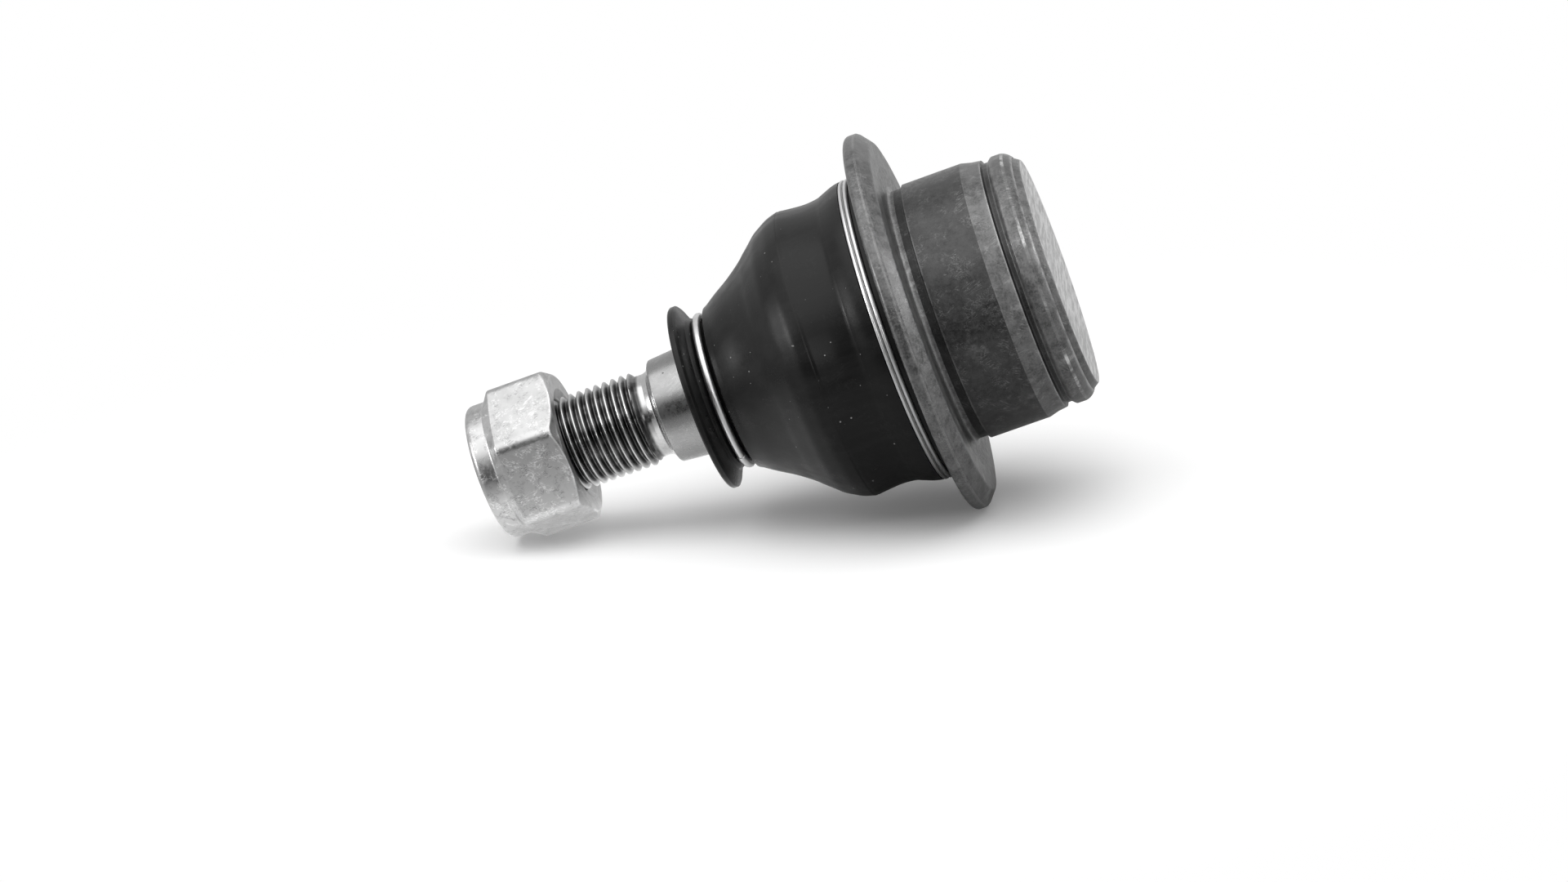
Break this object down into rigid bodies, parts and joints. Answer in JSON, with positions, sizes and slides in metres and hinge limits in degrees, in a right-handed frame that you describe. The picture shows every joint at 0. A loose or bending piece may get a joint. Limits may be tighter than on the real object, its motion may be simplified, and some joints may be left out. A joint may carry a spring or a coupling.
{
  "type": "suspension ball joint",
  "caption": "Press-in suspension ball joint: round flanged housing with a swaged end cover, tapered threaded stud with a lock nut, and a rubber dust boot held by wire rings.",
  "frame": {"origin": "centre of the ball, on the axis of the press-fit land and inside its length", "axes": "+Z along the stud, from the ball towards the nut; the end cover faces -Z; the wire ring's sleeve starts at -X"},
  "size_m": [0.065, 0.065, 0.1008],
  "materials": {
    "phosphated_steel": "dark grey phosphate, dry",
    "zinc_plated_steel": "bright zinc",
    "spring_wire": "bright drawn wire",
    "boot_rubber": "matt",
    "bearing_plastic": "moulded, matt",
    "nylon": "satin"
  },
  "bodies": {
    "housing": {"housing": "phosphated_steel", "upper_bearing": "bearing_plastic", "lower_bearing": "bearing_plastic", "preload_spring": "spring_wire", "cover_plate": "phosphated_steel"},
    "boot": {"dust_boot": "boot_rubber", "boot_large_ring": "spring_wire"},
    "boot_collar": {"boot_small_ring": "spring_wire"},
    "stud": {"ball_stud": "zinc_plated_steel"},
    "nut_insert": {"nylon_insert": "nylon"},
    "nut": {"lock_nut": "zinc_plated_steel"}
  },
  "joints": [
    {"name": "swing_direction", "type": "hinge", "parent": "housing", "child": "boot", "pos_m": [0, 0, 0], "axis": [0, 0, 1], "continuous": true},
    {"name": "stud_swing", "type": "hinge", "parent": "boot", "child": "boot_collar", "pos_m": [0, 0, 0], "axis": [1, 0, 0], "range_deg": [-25, 25], "deforming": ["dust_boot"]},
    {"name": "stud_spin", "type": "hinge", "parent": "boot_collar", "child": "stud", "pos_m": [0, 0, 0], "axis": [0, 0, 1], "continuous": true},
    {"name": "nut_travel", "type": "slide", "parent": "stud", "child": "nut_insert", "axis": [0, 0, 1], "range_m": [-0.01251, 0.01351]},
    {"name": "nut_turn", "type": "hinge", "parent": "nut_insert", "child": "nut", "pos_m": [0, 0, 0.0664], "axis": [0, 0, 1], "range_deg": [-3000, 3240]}
  ],
  "couplings": [
    {"joint": "nut_travel", "follows": "nut_turn", "m_per_rad": 0.00023873}
  ]
}
